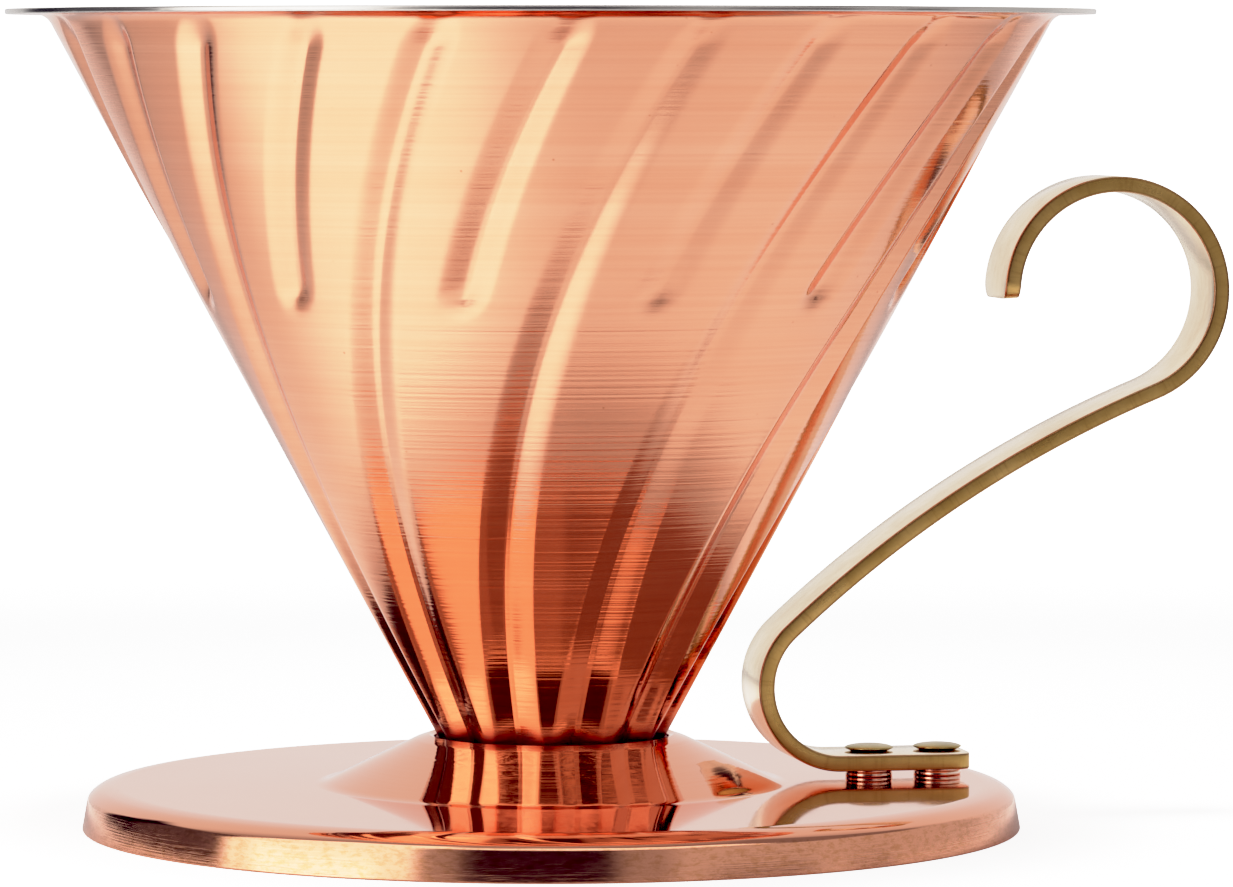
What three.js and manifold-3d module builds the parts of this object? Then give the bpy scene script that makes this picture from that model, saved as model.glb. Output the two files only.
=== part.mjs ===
// Pour over dripper: a thin copper cone with spiral grooves, soldered into the flare of a round base plate,
// and a looped brass bar handle riveted to the plate over spacer washers.
// Millimetres, +Z up. The plate stands on z = 0 and the handle points towards +X.

import * as THREE from 'three';
import { mergeVertices } from 'three/addons/utils/BufferGeometryUtils.js';
import Module from 'manifold-3d';

const wasm = await Module();
wasm.setup();

const DEG = Math.PI / 180;

// ---------- driving dimensions ----------

// Cone body: one sheet, a straight cone from the outlet up to a turned-out flange.
const SHEET = 0.6;
const RIM_RADIUS = 60.5;
const RIM_TOP = 91.2;
const CONE_HALF_ANGLE = 28.25 * DEG;
const CONE_RADIUS_AT_BASE = 7.3;
const OUTLET_HEIGHT = 3.6;
const FLANGE_FILLET = 2.0;

// Grooves pressed into the cone from outside, long ones down to its foot and short ones between them.
const GROOVE_PAIRS = 12;
const GROOVE_DEPTH = 1.05;
const GROOVE_HALF_WIDTH = 3.2;
const GROOVE_TOP = 87.7;
const GROOVE_TOP_BLUNTNESS = 1.25;
const SHORT_GROOVE_END = 61.4;
const GROOVE_CURVE = { middle: 1.4, edge: 1.6 };
const GROOVE_RUN_OUT = { full: 9.8, gone: 6.2 };
const GROOVE_PHASE = 2.1 * DEG;
const SWIRL_ANGLE = 27 * DEG;
const SWIRL_HEIGHT = 45;
const COLUMNS_PER_GROOVE = 6;
const WALL_ROWS = [18, 26, 36, 48, 58.6, SHORT_GROOVE_END, 73, GROOVE_TOP];

// Base plate: one pressed sheet. Its flat top rolls over a shoulder of three arcs into a skirt that leans out
// to a hemmed foot, and in its middle it flares up to the cone.
const PLATE_RADIUS = 52.4;
const PLATE_TOP = 4.9;
const PLATE_SHEET = 0.9;
const SHOULDER_ARCS = [
  { radius: 9.0, until: 12 * DEG },
  { radius: 3.2, until: 45 * DEG },
  { radius: 1.0, until: 80 * DEG },
];
const SKIRT_LEAN = 10 * DEG;
const HEM_WIDTH = 1.8;
const HEM_HEIGHT = 1.2;
const FLARE_FOOT_RADIUS = 25.6;
const FLARE_SHOULDER_RADIUS = 15.2;
const FLARE_SHOULDER_HEIGHT = 9.9;
const FLARE_LIP_RADIUS = 13.7;
const FLARE_LIP_HEIGHT = 10.4;
const FLARE_BORE_RADIUS = 13.1;
const FLARE_INSIDE_SHIFT = 0.3;
const LIP_CHAMFER = 0.2;

// Solder between the cone's foot and the flare's lip.
const SOLDER = { depth: 1.4, reach: 0.2, clearance: 0.05 };

// Handle: a flat bar of three bends, drawn along the middle of its thickness from the end of its foot.
const BAR_THICKNESS = 1.8;
const BAR_WIDTH = 10.3;
const BAR_CORNER = 1.8;
const FOOT_END = 47.2;
const FOOT_LENGTH = 15.0;
const LOWER_BEND = { radius: 8.6, turn: -137.3 * DEG };
const BOW = { radius: 137.7, turn: -20.8 * DEG };
const LOOP = { radius: 12.1, turn: 251.5 * DEG };
const BEND_STEP = 9 * DEG;
const BOW_STEP = 4 * DEG;

// Rivets and their spacer washers.
const RIVET_PLACES = { inner: 36.4, outer: 44.3 };
const SHANK_RADIUS = 1.45;
const HOLE_CLEARANCE = 0.3;
const HEAD_RADIUS = 2.75;
const HEAD_FOOT_RADIUS = 2.05;
const HEAD_HEIGHT = 0.85;
const HEAD_OUTLINE = [[1, 0.45], [0.82, 0.85], [0.45, 0.98], [0, 1]];
const TAIL_RADIUS = 2.3;
const TAIL_HEIGHT = 1.1;
const TAIL_OUTLINE = [[0, 1], [0.6, 0.9], [1, 0.3], [1, 0]];
const WASHER_RADIUS = 2.68;
const WASHER_THICKNESS = 0.5;
const WASHER_EDGE = 0.12;
const WASHERS_PER_RIVET = ['lower', 'upper'];

const ROUND_SEGMENTS = 64;
const SMALL_SEGMENTS = 20;

// ---------- worked out from them ----------

const coneSlope = Math.tan(CONE_HALF_ANGLE);
const coneRadius = (z) => CONE_RADIUS_AT_BASE + coneSlope * z;
const footBottom = PLATE_TOP + WASHERS_PER_RIVET.length * WASHER_THICKNESS;
const footTop = footBottom + BAR_THICKNESS;
const holeRadius = SHANK_RADIUS + HOLE_CLEARANCE;
const shoulderSize = SHOULDER_ARCS.reduce((size, { radius, until }) => ({
  width: size.width + radius * (Math.sin(until) - Math.sin(size.angle)),
  height: size.height + radius * (Math.cos(size.angle) - Math.cos(until)),
  angle: until,
}), { width: 0, height: 0, angle: 0 });
const flatEdge = PLATE_RADIUS - (PLATE_TOP - shoulderSize.height) * Math.tan(SKIRT_LEAN) - shoulderSize.width;

const materials = {
  copper: new THREE.MeshStandardMaterial({ color: 0xe39a72, roughness: 0.28, metalness: 1 }),
  bright_copper: new THREE.MeshStandardMaterial({ color: 0xe6b096, roughness: 0.2, metalness: 1 }),
  polished_copper: new THREE.MeshStandardMaterial({ color: 0xd98a66, roughness: 0.1, metalness: 1 }),
  brass: new THREE.MeshStandardMaterial({ color: 0xc2a15a, roughness: 0.3, metalness: 1 }),
  solder: new THREE.MeshStandardMaterial({ color: 0x9c9a96, roughness: 0.5, metalness: 1 }),
};

// ---------- shared helpers ----------

// Points of an elliptic arc in the (radius, height) plane, both ends included.
function arc(centreX, centreY, width, height, startAngle, endAngle, steps) {
  const points = [];
  for (let i = 0; i <= steps; i++) {
    const angle = startAngle + ((endAngle - startAngle) * i) / steps;
    points.push(new THREE.Vector2(centreX + width * Math.cos(angle), centreY + height * Math.sin(angle)));
  }
  return points;
}

// A lathe turns about Y, so the solid is stood up to turn about Z.
function turned(points, segments) {
  const closed = [...points, points[0].clone()];
  const geometry = new THREE.LatheGeometry(closed, segments);
  geometry.rotateX(Math.PI / 2);
  return geometry;
}

function toSolid(geometry) {
  const bare = geometry.clone();
  bare.deleteAttribute('normal');
  bare.deleteAttribute('uv');
  const merged = mergeVertices(bare, 1e-3);
  const vertProperties = new Float32Array(merged.attributes.position.array);
  const triVerts = new Uint32Array(merged.index.array);
  return new wasm.Manifold(new wasm.Mesh({ numProp: 3, vertProperties, triVerts }));
}

function toGeometry(solid) {
  const mesh = solid.getMesh();
  const geometry = new THREE.BufferGeometry();
  geometry.setAttribute('position', new THREE.BufferAttribute(mesh.vertProperties, 3));
  geometry.setIndex(new THREE.BufferAttribute(mesh.triVerts, 1));
  return geometry;
}

function cut(geometry, cutters) {
  let solid = toSolid(geometry);
  for (const cutter of cutters) {
    solid = solid.subtract(toSolid(cutter));
  }
  return toGeometry(solid);
}

function mesh(name, geometry, material) {
  const piece = new THREE.Mesh(geometry, material);
  piece.name = name;
  return piece;
}

// ---------- cone body ----------

// The grooves lean round the cone, steeply near the mouth and hardly at all at the outlet.
function swirl(z) {
  return SWIRL_ANGLE * Math.log(Math.cosh(z / SWIRL_HEIGHT));
}

// Cross-section of a groove: a valley with a narrow bottom and edges that run out smoothly.
function grooveProfile(distance) {
  const share = Math.min(Math.abs(distance) / GROOVE_HALF_WIDTH, 1);
  return GROOVE_DEPTH * Math.pow(1 - Math.pow(share, GROOVE_CURVE.middle), GROOVE_CURVE.edge);
}

// How far the sheet is pressed in. Past its end a groove closes in a half round.
function grooveDepth(angle, z) {
  const pitch = (2 * Math.PI) / GROOVE_PAIRS;
  const turns = angle / pitch;
  const toLong = (turns - Math.round(turns)) * pitch * coneRadius(z);
  const toShort = (turns - Math.floor(turns) - 0.5) * pitch * coneRadius(z);
  const above = GROOVE_TOP_BLUNTNESS * Math.max(z - GROOVE_TOP, 0);
  const below = Math.max(SHORT_GROOVE_END - z, 0);
  const long = grooveProfile(Math.hypot(toLong, above));
  const short = grooveProfile(Math.hypot(toShort, above, below));
  return Math.max(long, short) * THREE.MathUtils.smoothstep(z, GROOVE_RUN_OUT.gone, GROOVE_RUN_OUT.full);
}

// The sheet's section as a closed run of rows: outside from the outlet up, round the lip, and back inside.
function coneRows() {
  const heights = [OUTLET_HEIGHT, GROOVE_RUN_OUT.gone, GROOVE_RUN_OUT.full, ...WALL_ROWS];
  const wallToInside = SHEET / Math.cos(CONE_HALF_ANGLE);
  const underside = RIM_TOP - SHEET;
  const bend = Math.PI / 2 - CONE_HALF_ANGLE;
  const centreRadius = coneRadius(underside) + FLANGE_FILLET * Math.tan(bend / 2);
  const centreHeight = underside - FLANGE_FILLET;
  const wallAngle = Math.PI / 2 + bend;
  const outerFillet = FLANGE_FILLET;
  const innerFillet = FLANGE_FILLET + SHEET;
  const outerBend = arc(centreRadius, centreHeight, outerFillet, outerFillet, wallAngle, Math.PI / 2, 2);
  const innerBend = arc(centreRadius, centreHeight, innerFillet, innerFillet, Math.PI / 2, wallAngle, 2);
  const outside = heights.map((z) => new THREE.Vector2(coneRadius(z), z));
  const inside = heights.map((z) => new THREE.Vector2(coneRadius(z) - wallToInside, z)).reverse();
  const lip = [new THREE.Vector2(RIM_RADIUS, underside), new THREE.Vector2(RIM_RADIUS, RIM_TOP)];
  return [...outside, ...outerBend, ...lip, ...innerBend, ...inside];
}

// A closed grid of rows and columns, the columns leaning with the grooves.
function coneBodyGeometry() {
  const rows = coneRows();
  const columns = GROOVE_PAIRS * 2 * COLUMNS_PER_GROOVE;
  const positions = [];
  const index = [];
  for (const row of rows) {
    for (let column = 0; column < columns; column++) {
      const angle = (2 * Math.PI * column) / columns;
      const radius = row.x - grooveDepth(angle, row.y);
      const place = angle + GROOVE_PHASE + swirl(row.y);
      positions.push(radius * Math.cos(place), radius * Math.sin(place), row.y);
    }
  }
  for (let i = 0; i < rows.length; i++) {
    const here = i * columns;
    const next = ((i + 1) % rows.length) * columns;
    for (let column = 0; column < columns; column++) {
      const right = (column + 1) % columns;
      index.push(here + column, here + right, next + right);
      index.push(here + column, next + right, next + column);
    }
  }
  const geometry = new THREE.BufferGeometry();
  geometry.setAttribute('position', new THREE.Float32BufferAttribute(positions, 3));
  geometry.setIndex(index);
  return geometry;
}

// ---------- base plate ----------

// The shoulder's line from the flat top outward and down, at a depth below the outer face.
function shoulderLine(depth, steps) {
  const points = [];
  const pen = { radius: flatEdge, height: PLATE_TOP, angle: 0 };
  for (const { radius, until } of SHOULDER_ARCS) {
    const centreRadius = pen.radius - radius * Math.sin(pen.angle);
    const centreHeight = pen.height - radius * Math.cos(pen.angle);
    const inset = radius - depth;
    const start = Math.PI / 2 - pen.angle;
    const end = Math.PI / 2 - until;
    points.push(...arc(centreRadius, centreHeight, inset, inset, start, end, steps));
    pen.radius = centreRadius + radius * Math.sin(until);
    pen.height = centreHeight + radius * Math.cos(until);
    pen.angle = until;
  }
  return points.filter((point, i) => i % (steps + 1) !== 0 || i === 0);
}

function basePlateSection() {
  const underside = PLATE_TOP - PLATE_SHEET;
  const hemWall = PLATE_RADIUS - HEM_HEIGHT * Math.tan(SKIRT_LEAN) - PLATE_SHEET / Math.cos(SKIRT_LEAN);
  const point = (radius, height) => new THREE.Vector2(radius, height);
  return [
    point(PLATE_RADIUS - HEM_WIDTH, 0),
    point(PLATE_RADIUS, 0),
    ...shoulderLine(0, 2).reverse(),
    point(FLARE_FOOT_RADIUS, PLATE_TOP),
    point(FLARE_SHOULDER_RADIUS, FLARE_SHOULDER_HEIGHT),
    point(FLARE_LIP_RADIUS, FLARE_LIP_HEIGHT),
    point(FLARE_BORE_RADIUS, FLARE_LIP_HEIGHT - LIP_CHAMFER),
    point(FLARE_BORE_RADIUS, FLARE_LIP_HEIGHT - PLATE_SHEET),
    point(FLARE_SHOULDER_RADIUS - FLARE_INSIDE_SHIFT, FLARE_SHOULDER_HEIGHT - PLATE_SHEET),
    point(FLARE_FOOT_RADIUS - FLARE_INSIDE_SHIFT, underside),
    ...shoulderLine(PLATE_SHEET, 1),
    point(hemWall, HEM_HEIGHT),
    point(PLATE_RADIUS - HEM_WIDTH, HEM_HEIGHT),
  ];
}

function rivetHoleCutters(bottom, top) {
  return Object.values(RIVET_PLACES).map((place) => {
    const cutter = new THREE.CylinderGeometry(holeRadius, holeRadius, top - bottom, SMALL_SEGMENTS);
    cutter.rotateX(Math.PI / 2);
    cutter.translate(place, 0, (top + bottom) / 2);
    return cutter;
  });
}

function basePlateGeometry() {
  const plate = turned(basePlateSection(), ROUND_SEGMENTS);
  return cut(plate, rivetHoleCutters(0, PLATE_TOP + 1));
}

// A ring of solder on the underside, between the cone's spout and the lip of the flare.
function solderRingGeometry() {
  const top = FLARE_LIP_HEIGHT - PLATE_SHEET - SOLDER.clearance;
  const foot = top - SOLDER.depth;
  const section = [
    new THREE.Vector2(coneRadius(foot) + SOLDER.clearance, foot),
    new THREE.Vector2(FLARE_BORE_RADIUS + SOLDER.reach, top),
    new THREE.Vector2(coneRadius(top) + SOLDER.clearance, top),
  ];
  return turned(section, ROUND_SEGMENTS);
}

// ---------- handle ----------

// The middle line of the bar, as places with a heading, from the foot's end to the loop's end.
function barLine() {
  const line = [];
  const pen = { x: FOOT_END, z: footBottom + BAR_THICKNESS / 2, heading: Math.PI };
  const mark = () => line.push({ ...pen });
  mark();
  pen.x -= FOOT_LENGTH;
  mark();
  for (const bend of [LOWER_BEND, BOW, LOOP]) {
    const largest = bend === BOW ? BOW_STEP : BEND_STEP;
    const steps = Math.ceil(Math.abs(bend.turn) / largest);
    const step = bend.turn / steps;
    const chord = 2 * bend.radius * Math.sin(Math.abs(step) / 2);
    for (let i = 0; i < steps; i++) {
      pen.x += chord * Math.cos(pen.heading + step / 2);
      pen.z += chord * Math.sin(pen.heading + step / 2);
      pen.heading += step;
      mark();
    }
  }
  return line;
}

// The bar's side view, drawn in X and Z, pushed out to the bar's width across Y.
function barGeometry(line) {
  const half = BAR_THICKNESS / 2;
  const side = (sign) => line.map(({ x, z, heading }) => {
    return new THREE.Vector2(x - sign * half * Math.sin(heading), z + sign * half * Math.cos(heading));
  });
  const outline = new THREE.Shape([...side(1), ...side(-1).reverse()]);
  const geometry = new THREE.ExtrudeGeometry(outline, { depth: BAR_WIDTH, bevelEnabled: false });
  geometry.rotateX(Math.PI / 2);
  geometry.translate(0, BAR_WIDTH / 2, 0);
  return geometry;
}

// What a rounded corner takes away: the square corner at the origin, less a quarter disc.
function cornerCutter(end, sideways) {
  const r = BAR_CORNER;
  const margin = 0.5;
  const shape = new THREE.Shape();
  shape.moveTo(margin, margin);
  shape.lineTo(-r, margin);
  shape.lineTo(-r, 0);
  shape.absarc(-r, -r, r, Math.PI / 2, 0, true);
  shape.lineTo(margin, -r);
  const depth = BAR_THICKNESS * 2;
  const geometry = new THREE.ExtrudeGeometry(shape, { depth, bevelEnabled: false, curveSegments: 4 });
  geometry.translate(0, 0, -depth / 2);
  if (sideways < 0) {
    geometry.rotateX(Math.PI);
  }
  geometry.translate(0, (sideways * BAR_WIDTH) / 2, 0);
  geometry.rotateY(-end.direction);
  geometry.translate(end.x, 0, end.z);
  return geometry;
}

function handleGeometry() {
  const line = barLine();
  const first = line[0];
  const last = line[line.length - 1];
  const ends = [
    { x: first.x, z: first.z, direction: 0 },
    { x: last.x, z: last.z, direction: last.heading },
  ];
  const corners = ends.flatMap((end) => [1, -1].map((sideways) => cornerCutter(end, sideways)));
  return cut(barGeometry(line), [...corners, ...rivetHoleCutters(footBottom - 1, footTop + 1)]);
}

// ---------- rivets and washers ----------

function rivetGeometry() {
  const underside = PLATE_TOP - PLATE_SHEET;
  const point = (radius, height) => new THREE.Vector2(radius, height);
  const section = [
    ...TAIL_OUTLINE.map(([out, down]) => point(TAIL_RADIUS * out, underside - TAIL_HEIGHT * down)),
    point(SHANK_RADIUS, underside),
    point(SHANK_RADIUS, footTop),
    point(HEAD_FOOT_RADIUS, footTop),
    ...HEAD_OUTLINE.map(([out, up]) => point(HEAD_RADIUS * out, footTop + HEAD_HEIGHT * up)),
  ];
  const geometry = new THREE.LatheGeometry(section, SMALL_SEGMENTS);
  geometry.rotateX(Math.PI / 2);
  return geometry;
}

function washerGeometry(bottom) {
  const top = bottom + WASHER_THICKNESS;
  const point = (radius, height) => new THREE.Vector2(radius, height);
  const section = [
    point(holeRadius, bottom),
    point(WASHER_RADIUS - WASHER_EDGE, bottom),
    point(WASHER_RADIUS, bottom + WASHER_EDGE),
    point(WASHER_RADIUS, top - WASHER_EDGE),
    point(WASHER_RADIUS - WASHER_EDGE, top),
    point(holeRadius, top),
  ];
  return turned(section, SMALL_SEGMENTS);
}

function fastener(name, place) {
  const group = new THREE.Group();
  group.position.x = place;
  group.add(mesh(`rivet_${name}`, rivetGeometry(), materials.brass));
  WASHERS_PER_RIVET.forEach((level, i) => {
    const washer = washerGeometry(PLATE_TOP + i * WASHER_THICKNESS);
    group.add(mesh(`washer_${name}_${level}`, washer, materials.bright_copper));
  });
  return group;
}

// ---------- assembly ----------

// The pieces are built about the cone's axis, which is set off from the middle of the whole length.
const handle = mesh('handle', handleGeometry(), materials.brass);
handle.geometry.computeBoundingBox();
const handleReach = handle.geometry.boundingBox.max.x;

const group = new THREE.Group();
group.position.x = (RIM_RADIUS - handleReach) / 2;
group.add(mesh('cone_body', coneBodyGeometry(), materials.copper));
group.add(mesh('base_plate', basePlateGeometry(), materials.polished_copper));
group.add(mesh('solder_ring', solderRingGeometry(), materials.solder));
group.add(handle);
for (const [name, place] of Object.entries(RIVET_PLACES)) {
  group.add(fastener(name, place));
}

export default group;
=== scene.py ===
"""Looks for the pour over dripper: fine meshes, procedural metals, a pale floor and soft studio light.

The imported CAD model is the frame. Every CAD node is replaced by a fine mesh of the same form and size, built
here in millimetres about the cone's axis and scaled to metres. Places and main sizes are read from the frame.
"""

import math

import bpy
import numpy as np
from mathutils import Matrix, Vector


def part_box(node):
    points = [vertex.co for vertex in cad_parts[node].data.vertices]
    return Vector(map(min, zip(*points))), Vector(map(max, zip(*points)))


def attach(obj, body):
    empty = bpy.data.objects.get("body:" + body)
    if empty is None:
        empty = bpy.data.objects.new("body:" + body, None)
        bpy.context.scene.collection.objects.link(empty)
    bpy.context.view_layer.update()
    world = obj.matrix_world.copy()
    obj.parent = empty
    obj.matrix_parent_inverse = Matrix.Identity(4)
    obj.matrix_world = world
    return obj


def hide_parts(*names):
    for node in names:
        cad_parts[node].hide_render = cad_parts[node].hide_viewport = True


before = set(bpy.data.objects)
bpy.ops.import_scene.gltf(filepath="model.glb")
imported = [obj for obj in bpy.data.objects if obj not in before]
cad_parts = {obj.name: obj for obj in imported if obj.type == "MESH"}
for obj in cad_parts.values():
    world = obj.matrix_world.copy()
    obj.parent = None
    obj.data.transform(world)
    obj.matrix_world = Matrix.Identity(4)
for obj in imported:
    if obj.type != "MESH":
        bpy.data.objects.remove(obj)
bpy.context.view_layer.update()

MM = 0.001


def box_mm(node):
    """Lowest and highest corner of a CAD node, in millimetres."""
    low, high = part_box(node)
    return Vector(low) / MM, Vector(high) / MM


# ---------- sizes read from the frame, in millimetres ----------

CONE_LOW, CONE_HIGH = box_mm("cone_body")
PLATE_LOW, PLATE_HIGH = box_mm("base_plate")
HANDLE_LOW, HANDLE_HIGH = box_mm("handle")
WASHER_LOW, WASHER_HIGH = box_mm("washer_inner_lower")
UPPER_WASHER_HIGH = box_mm("washer_inner_upper")[1]
RIVET_LOW, RIVET_HIGH = box_mm("rivet_inner")

AXIS_X = (PLATE_LOW.x + PLATE_HIGH.x) / 2
RIM_RADIUS = (CONE_HIGH.y - CONE_LOW.y) / 2
RIM_TOP = CONE_HIGH.z
OUTLET_HEIGHT = CONE_LOW.z
PLATE_RADIUS = (PLATE_HIGH.y - PLATE_LOW.y) / 2
PLATE_TOP = WASHER_LOW.z
FLARE_TOP = PLATE_HIGH.z
FOOT_BOTTOM = UPPER_WASHER_HIGH.z
BAR_WIDTH = HANDLE_HIGH.y - HANDLE_LOW.y
RIVET_PLACES = {
    name: (box_mm(f"rivet_{name}")[0].x + box_mm(f"rivet_{name}")[1].x) / 2 - AXIS_X
    for name in ("inner", "outer")
}

# ---------- sizes of the finer detail, in millimetres ----------

SHEET = 0.6
PLATING = 0.2
CONE_HALF_ANGLE = math.radians(28.25)
CONE_RADIUS_AT_BASE = 7.3
FLANGE_FILLET, FLANGE_STEPS = 2.0, 10
LIP_ROUNDING, LIP_FLAT = 0.18, 1

GROOVE_PAIRS = 12
GROOVE_DEPTH = 1.05
GROOVE_HALF_WIDTH = 3.2
# The powers give the bend of the groove's walls, and the floor is flat at this share of the full depth.
GROOVE_WALL_POWER, GROOVE_EDGE_POWER = 1.4, 1.6
GROOVE_FLOOR = 0.93
# Above this height the grooves run out, over their half width divided by the bluntness.
GROOVE_TOP = 86.9
GROOVE_TOP_BLUNTNESS = 0.8
SHORT_GROOVE_END = 61.4
# Near the foot the grooves fade in between these two heights.
GROOVE_GONE, GROOVE_FULL = 6.2, 9.8
GROOVE_PHASE = math.radians(2.1)
SWIRL_ANGLE = math.radians(27)
SWIRL_HEIGHT = 45
# The cone's mesh: columns for each groove, and rows that come closer together under the flange.
GROOVE_COLUMNS = 40
COLUMN_CROWDING = 1.35
CONE_ROW = 0.8
FINE_ROWS_FROM, FINE_ROWS = 85, 16

PLATE_SHEET = 0.9
# Each arc of the shoulder: its radius, and the slope in degrees that it runs to.
SHOULDER_ARCS = ((9.0, 12), (3.2, 45), (1.0, 80))
SKIRT_LEAN = math.radians(10)
FOOT_ROUNDING = 0.15
HEM_WIDTH, HEM_HEIGHT, HEM_ROUNDING = 1.8, 1.2, 0.2
FLARE_FOOT_RADIUS, FLARE_FOOT_FILLET = 25.6, 4.0
FLARE_SHOULDER_RADIUS, FLARE_SHOULDER_HEIGHT, FLARE_SHOULDER_FILLET = 15.2, 9.9, 3.0
FLARE_LIP_RADIUS, FLARE_LIP_ROUNDING = 13.7, 0.35
FLARE_BORE_RADIUS, FLARE_BORE_ROUNDING, FLARE_BORE_DROP = 13.1, 0.25, 0.2
FLARE_INSIDE_SHIFT, FLARE_INSIDE_EDGE = 0.3, 0.2
FLARE_INSIDE_SHOULDER_FILLET, FLARE_INSIDE_FOOT_FILLET = 2.0, 3.0
SOLDER_DEPTH, SOLDER_REACH, SOLDER_GAP, SOLDER_ROUNDING = 1.4, 0.3, 0.02, 0.05

BAR_THICKNESS = 1.8
BAR_CORNER = 1.8
BAR_EDGE = 0.22
BAR_END_HALF_WIDTH = 0.02
# Distances from either end of the bar at which the mesh has a ring, closest where the corners are rounded.
BAR_END_STOPS = [0, 0.04, 0.12, 0.25, 0.45, 0.75, 1.1, 1.45, BAR_CORNER]
# The mesh attribute that holds each point's place on the bar as if it were laid out flat.
STRIP = "strip"
FOOT_END = 47.2
FOOT_LENGTH, FOOT_STEPS = 15.0, 15
BENDS = (
    {"radius": 8.6, "turn": math.radians(-137.3), "steps": 60},
    {"radius": 137.7, "turn": math.radians(-20.8), "steps": 40},
    {"radius": 12.1, "turn": math.radians(251.5), "steps": 110},
)

SHANK_RADIUS = 1.45
HEAD_RADIUS, HEAD_FOOT_RADIUS = 2.75, 2.05
HEAD_FOOT_ROUNDING, HEAD_EDGE_ROUNDING = 0.05, 0.06
# Shares of the head's height: its widest place, the start of the dome, and the dome itself.
HEAD_EDGE, DOME_START, DOME_HEIGHT = 0.4, 0.45, 0.55
TAIL_RADIUS, TAIL_ROUNDING = 2.3, 0.08
# Shares of the tail's depth: its upright wall, and the curve under it.
TAIL_WALL, TAIL_CURVE = 0.3, 0.7
WASHER_RADIUS, WASHER_ROUNDING = 2.68, 0.16
WASHER_BORE = 1.75
FOOT_TOP = FOOT_BOTTOM + BAR_THICKNESS

# ---------- camera and studio: metres and radians, but millimetres for the lens and sensor ----------

VIEW_TURN = math.radians(-10)
VIEW_DISTANCE = 0.728
VIEW_HEIGHT = 0.0859
VIEW_ASIDE = 0.01
VIEW_DOWN = 0.0591
LENS = 190.75
SENSOR = 36
NEAREST, FURTHEST = 0.05, 50

# What stands round the object: azimuth, half width, lowest and highest edge in degrees, then brightness.
# Azimuth 0 is where the camera stands, and positive angles are to the camera's right.
STUDIO_CARDS = {
    "wall on the right": (80, 50, -90, 27, 0.66),
    "floor in shadow on the right": (45, 33, -90, -14, 0.36),
    "dark ceiling on the right": (62, 52, 27, 66, 0.28),
    "grey gap on the left": (-105, 20, -8, 34, 0.13),
    "dark edge of the soft box": (-133, 10, -90, 34, 0.03),
    "lamp strip overhead": (12, 48, 31, 53, 1.6),
    "soft box on the left": (-60, 27, -20, 62, 1.9),
    "lamp in the soft box": (-60, 17, -9, 8, 2.9),
    "dark room behind the camera": (-3, 19, -90, 27, 0.06),
    "dark low shelf on the right": (52, 14, -14, 4, 0.08),
    "dark leg further right": (84, 7, -20, 2, 0.08),
}
CARD_EDGE = 3
# The surroundings' brightness in front and behind, and the azimuths between which one turns into the other.
FRONT_LEVEL, BACK_LEVEL = 0.42, 0.86
FRONT_ENDS, BACK_STARTS = 100, 140
WHITE_SEEN = 3.0
# Each pool of light on the floor, in metres: place, aim, width, the lamp's own size, then watts.
POOLS = {
    "pool_round_the_object": ((0.0, 0.0, 1.0), (0.01, 0.02, 0), 0.42, 0.1, 40),
    "pool_on_the_left": ((-0.35, -0.35, 0.8), (-0.138, -0.085, 0), 0.21, 0.03, 50),
}
POOL_BLEND = 0.6
FLOOR_RADIUS, FLOOR_CORNERS = 0.5, 96
FLOOR_FADE = (0.24, 0.42)
PAPER, PAPER_SEEN = (0.66, 0.66, 0.66), (0.93, 0.93, 0.93)

# The picture's tone, in the linear light that the camera gathers: black and white level, then curve points.
TONE_BLACK, TONE_WHITE = (0.023, 0.026, 0.012), 2.5
TONE_POINTS = ((0.1, 0.25), (0.2, 0.5), (0.3, 0.735), (0.4, 0.855), (0.56, 0.93), (0.76, 0.975))


# =====================================================================================================
# Mesh helpers
# =====================================================================================================

def cone_radius(z):
    """The cone's outer radius at a height, before any groove is pressed in."""
    return CONE_RADIUS_AT_BASE + math.tan(CONE_HALF_ANGLE) * z


def arc(centre, radii, start, end, steps):
    """Points of an elliptic arc in the (radius, height) plane, angles in degrees, both ends included."""
    angles = np.radians(np.linspace(start, end, steps + 1))
    return [(centre[0] + radii[0] * math.cos(a), centre[1] + radii[1] * math.sin(a)) for a in angles]


def filleted(corners, steps=6):
    """A section whose corners (x, y, fillet radius) are rounded. A radius of 0 leaves the corner sharp."""
    points = []
    count = len(corners)
    for i, (x, y, radius) in enumerate(corners):
        here = Vector((x, y))
        if not radius:
            points.append((x, y))
            continue
        before = (Vector(corners[i - 1][:2]) - here).normalized()
        after = (Vector(corners[(i + 1) % count][:2]) - here).normalized()
        half = before.angle(after) / 2
        centre = here + (before + after).normalized() * radius / math.sin(half)
        start = here + before * radius / math.tan(half)
        end = here + after * radius / math.tan(half)
        a = start - centre
        sweep = a.angle_signed(end - centre)
        for k in range(steps + 1):
            turn = -sweep * k / steps
            c, s = math.cos(turn), math.sin(turn)
            points.append((centre.x + a.x * c - a.y * s, centre.y + a.x * s + a.y * c))
    return points


def make_object(name, points, faces, sharp_degrees=40):
    """A smooth-shaded mesh object from points in millimetres about the cone's axis."""
    mesh = bpy.data.meshes.new(name)
    places = (np.asarray(points, dtype=float) + (AXIS_X, 0, 0)) * MM
    mesh.from_pydata(places.tolist(), [], faces)
    mesh.validate()
    mesh.shade_smooth()
    mesh.set_sharp_from_angle(angle=math.radians(sharp_degrees))
    thing = bpy.data.objects.new(name, mesh)
    bpy.context.scene.collection.objects.link(thing)
    return thing


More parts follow.
